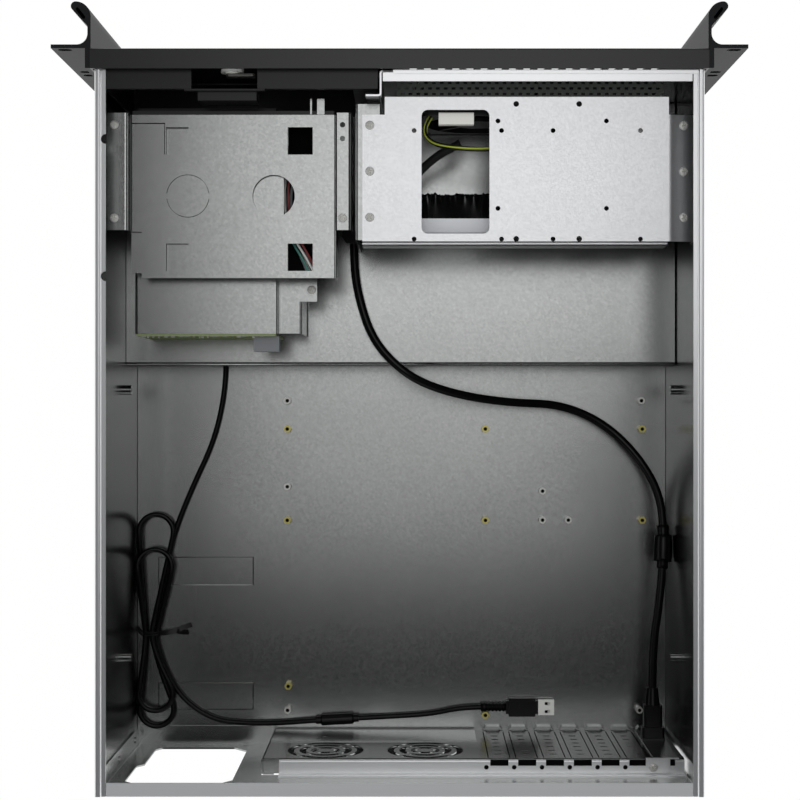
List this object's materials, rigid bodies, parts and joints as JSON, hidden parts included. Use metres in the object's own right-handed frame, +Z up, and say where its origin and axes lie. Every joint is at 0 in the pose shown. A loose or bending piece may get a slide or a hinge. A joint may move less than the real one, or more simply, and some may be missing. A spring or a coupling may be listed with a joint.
{
  "type": "rackmount server case",
  "caption": "Open-topped rackmount server case in folded steel, with a drive cage and plate at the front, a lockable front door, grip ears, and a slotted rear wall.",
  "frame": {"origin": "under the middle of the case, on the surface that it stands on", "axes": "+X is the right side seen from the front, +Y runs from the handles to the rear wall, +Z is up"},
  "size_m": [0.4826, 0.551, 0.177],
  "materials": {
    "galvanised_steel": "zinc-coated cold-rolled steel sheet, fine spangle, semi-bright",
    "bright_steel": "electro-zinc steel sheet, pale and even",
    "zinc_screws": "nickel-plated screws and pins",
    "brass": "turned hexagonal brass",
    "charcoal_paint": "fine-texture powder coat, charcoal",
    "black_anodised": "extruded aluminium, black powder coat",
    "black_abs": "moulded black ABS",
    "chrome_plate": "nickel-chrome plate",
    "bright_zinc": "bright zinc-plated stamping",
    "clear_lens": "translucent light pipe",
    "black_pvc": "flexible black PVC",
    "yellow_wire": "yellow-green PVC hook-up wire",
    "black_sleeve": "braided black sleeve over coloured wires",
    "white_nylon": "natural nylon housing",
    "green_board": "glass-epoxy board with green solder mask"
  },
  "bodies": {
    "case": {"backplane_board": "green_board", "backplane_connector": "white_nylon", "bay_cover": "black_abs", "bracket_socket": "black_abs", "brass_standoffs": "brass", "cage_rail_left": "galvanised_steel", "cage_rail_right": "galvanised_steel", "cage_wires": "black_sleeve", "chassis_tub": "galvanised_steel", "control_block": "black_abs", "deck": "galvanised_steel", "deck_socket": "black_pvc", "door_frame": "black_abs", "drive_bay": "galvanised_steel", "drive_cage": "galvanised_steel", "drive_plate": "bright_steel", "drive_tray_lower": "black_abs", "drive_tray_upper": "black_abs", "duct_cover": "galvanised_steel", "ear_handle_left": "black_anodised", "ear_handle_right": "black_anodised", "fan_connector": "white_nylon", "fan_frame_left": "black_abs", "fan_frame_right": "black_abs", "fan_wires": "yellow_wire", "front_bezel": "charcoal_paint", "front_plug": "black_pvc", "front_wall": "galvanised_steel", "heavy_ferrite": "black_pvc", "heavy_lead": "black_pvc", "hinge_pins": "zinc_screws", "io_blank_plate": "galvanised_steel", "io_wall": "galvanised_steel", "lead_bracket": "galvanised_steel", "lock_guard": "black_abs", "pan_screws": "zinc_screws", "panel_rivets": "galvanised_steel", "partition": "galvanised_steel", "plate_rail": "galvanised_steel", "rail_inserts": "galvanised_steel", "rear_panel": "galvanised_steel", "rear_plug": "black_pvc", "status_lights": "clear_lens", "steel_standoffs": "galvanised_steel", "twist_tie": "black_pvc", "usb_bead": "black_pvc", "usb_grip": "black_pvc", "usb_hank": "black_pvc", "usb_lead_in": "black_pvc", "usb_lead_out": "black_pvc", "usb_ports": "chrome_plate", "usb_shell": "chrome_plate"},
    "door": {"front_door": "charcoal_paint", "lock_barrel": "chrome_plate"},
    "lock": {"lock_plug": "chrome_plate", "lock_cam": "bright_zinc"},
    "power": {"power_button": "black_abs"},
    "reset": {"reset_button": "black_abs"},
    "fan_left": {"fan_rotor_left": "black_abs"},
    "fan_right": {"fan_rotor_right": "black_abs"}
  },
  "joints": [
    {"name": "door_hinge", "type": "hinge", "parent": "case", "child": "door", "pos_m": [0.1182, -0.2406, 0.0606], "axis": [1, 0, 0], "range_deg": [0, 95]},
    {"name": "lock_turn", "type": "hinge", "parent": "door", "child": "lock", "pos_m": [0.1182, -0.24, 0.152], "axis": [0, 1, 0], "range_deg": [0, 90]},
    {"name": "power_press", "type": "slide", "parent": "case", "child": "power", "axis": [0, 1, 0], "range_m": [0, 0.002], "stiffness_N_per_m": 400},
    {"name": "reset_press", "type": "slide", "parent": "case", "child": "reset", "axis": [0, 1, 0], "range_m": [0, 0.002], "stiffness_N_per_m": 400},
    {"name": "fan_left_spin", "type": "hinge", "parent": "case", "child": "fan_left", "pos_m": [-0.1386, -0.2155, 0.0996], "axis": [0, 1, 0], "continuous": true},
    {"name": "fan_right_spin", "type": "hinge", "parent": "case", "child": "fan_right", "pos_m": [-0.0566, -0.2155, 0.0996], "axis": [0, 1, 0], "continuous": true}
  ]
}
